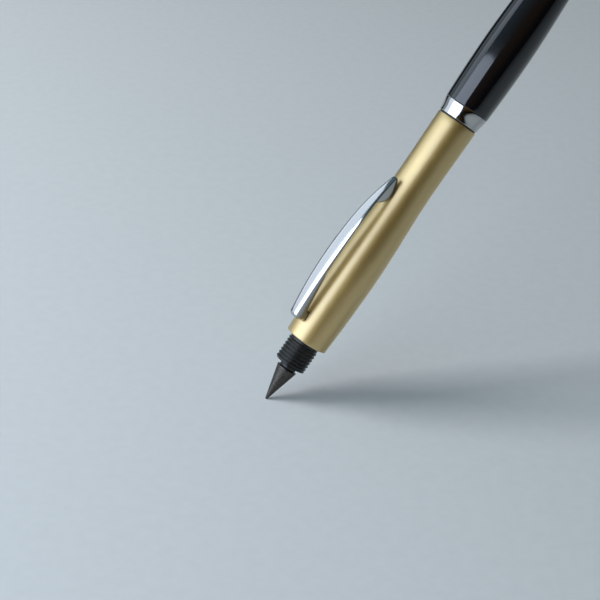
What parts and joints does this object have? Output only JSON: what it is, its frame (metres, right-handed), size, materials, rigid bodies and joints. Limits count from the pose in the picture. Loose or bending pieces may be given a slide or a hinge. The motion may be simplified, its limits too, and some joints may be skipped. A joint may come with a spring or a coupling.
{
  "type": "multifunction pen",
  "caption": "Slim twist pen with a metal pencil point and a threaded cap collar at the clip end, a ballpoint nose at the other, and a sprung leaf clip.",
  "frame": {"origin": "tip of the pencil point, on the pen's axis", "axes": "+Z along the pen from the pencil point to the ballpoint nose, -Y towards the clip, +X towards the black refill"},
  "size_m": [0.012, 0.0165, 0.1462],
  "materials": {
    "point_alloy": "worn, finely turned",
    "black_anodised": "satin",
    "satin_gold": "satin",
    "polished_chrome": "polished",
    "black_lacquer": "gloss",
    "turned_brass": "turned",
    "spring_steel": "drawn",
    "natural_acetal": "moulded",
    "black_acetal": "moulded",
    "refill_black": "gloss",
    "refill_red": "gloss"
  },
  "bodies": {
    "rear_half": {"pencil_point": "point_alloy", "point_bushing": "black_anodised", "threaded_collar": "black_anodised", "rear_barrel": "satin_gold", "clip_retainer": "spring_steel", "mechanism_bushing": "turned_brass", "heart_cam": "black_acetal", "retaining_ring": "spring_steel"},
    "clip": {"clip": "polished_chrome"},
    "front_half": {"guide_tube": "natural_acetal", "slip_washer": "black_acetal", "center_ring": "polished_chrome", "joint_sleeve": "turned_brass", "spring_stop": "black_acetal", "front_barrel": "black_lacquer", "nose_cone": "polished_chrome", "spring_black": "spring_steel", "spring_red": "spring_steel"},
    "carrier_black": {"carrier_black": "natural_acetal"},
    "carrier_red": {"carrier_red": "natural_acetal"},
    "refill_black": {"refill_black_tube": "refill_black", "refill_black_point": "turned_brass"},
    "refill_red": {"refill_red_tube": "refill_red", "refill_red_point": "turned_brass"}
  },
  "joints": [
    {"name": "clip_flex", "type": "hinge", "parent": "rear_half", "child": "clip", "pos_m": [0, -0.005, 0.02305], "axis": [1, 0, 0], "range_deg": [0, 3.5], "stiffness_Nm_per_rad": 2, "springref_deg": -0.57},
    {"name": "twist", "type": "hinge", "parent": "rear_half", "child": "front_half", "pos_m": [0, 0, 0.08105], "axis": [0, 0, 1], "range_deg": [-90, 90]},
    {"name": "carrier_black_travel", "type": "slide", "parent": "front_half", "child": "carrier_black", "axis": [0, 0, 1], "range_m": [-0.006, 0.006], "deforming": ["spring_black"]},
    {"name": "carrier_red_travel", "type": "slide", "parent": "front_half", "child": "carrier_red", "axis": [0, 0, 1], "range_m": [-0.006, 0.006], "deforming": ["spring_red"]},
    {"name": "refill_black_lean", "type": "hinge", "parent": "carrier_black", "child": "refill_black", "pos_m": [0.0021, 0, 0.07605], "axis": [0, -1, 0], "range_deg": [-1.03, 1.03]},
    {"name": "refill_red_lean", "type": "hinge", "parent": "carrier_red", "child": "refill_red", "pos_m": [-0.0021, 0, 0.07605], "axis": [0, 1, 0], "range_deg": [-1.03, 1.03]}
  ],
  "couplings": [
    {"joint": "twist", "follows": "carrier_black_travel", "rad_per_m": 261.8},
    {"joint": "carrier_red_travel", "follows": "carrier_black_travel", "ratio": -1},
    {"joint": "refill_black_lean", "follows": "carrier_black_travel", "rad_per_m": 2.9903},
    {"joint": "refill_red_lean", "follows": "carrier_black_travel", "rad_per_m": -2.9903}
  ]
}
